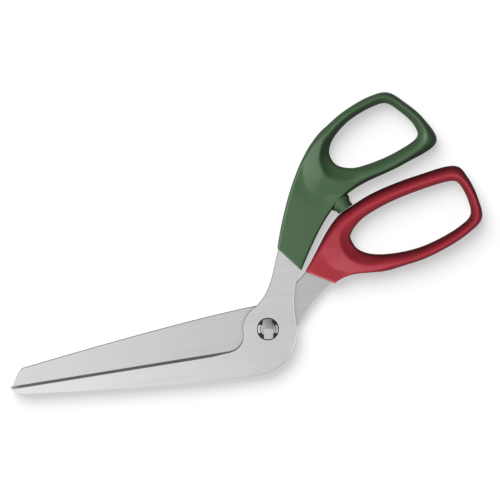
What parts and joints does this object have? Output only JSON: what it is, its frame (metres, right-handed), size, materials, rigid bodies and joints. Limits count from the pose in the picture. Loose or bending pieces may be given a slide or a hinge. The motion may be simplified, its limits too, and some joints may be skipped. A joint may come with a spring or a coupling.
{
  "type": "pizza scissors",
  "caption": "Scissors for cutting pizza: long straight steel blades cranked down from raised plastic finger loops, closed against a stop peg and hinged on a bolt and nut.",
  "frame": {"origin": "centre of the pivot nut's outer face, on the pivot axis", "axes": "+X along the cutting line from the blade tips towards the handles, +Y towards the raised handles, +Z along the pivot from the nut to the bolt's head"},
  "size_m": [0.2568, 0.1352, 0.012],
  "materials": {
    "blade_steel": "fine brushed along the blade",
    "green_plastic": "satin moulded",
    "red_plastic": "satin moulded",
    "pivot_steel": "bright turned",
    "washer_steel": "bright spring steel"
  },
  "bodies": {
    "rear_half": {"rear_blade": "blade_steel", "finger_handle": "red_plastic", "pivot_bolt": "pivot_steel", "spring_washer": "washer_steel", "pivot_nut": "pivot_steel"},
    "front_half": {"front_blade": "blade_steel", "thumb_handle": "green_plastic"}
  },
  "joints": [
    {"name": "blade_pivot", "type": "hinge", "parent": "rear_half", "child": "front_half", "pos_m": [0, 0, 0.00515], "axis": [0, 0, 1], "range_deg": [0, 85]}
  ]
}
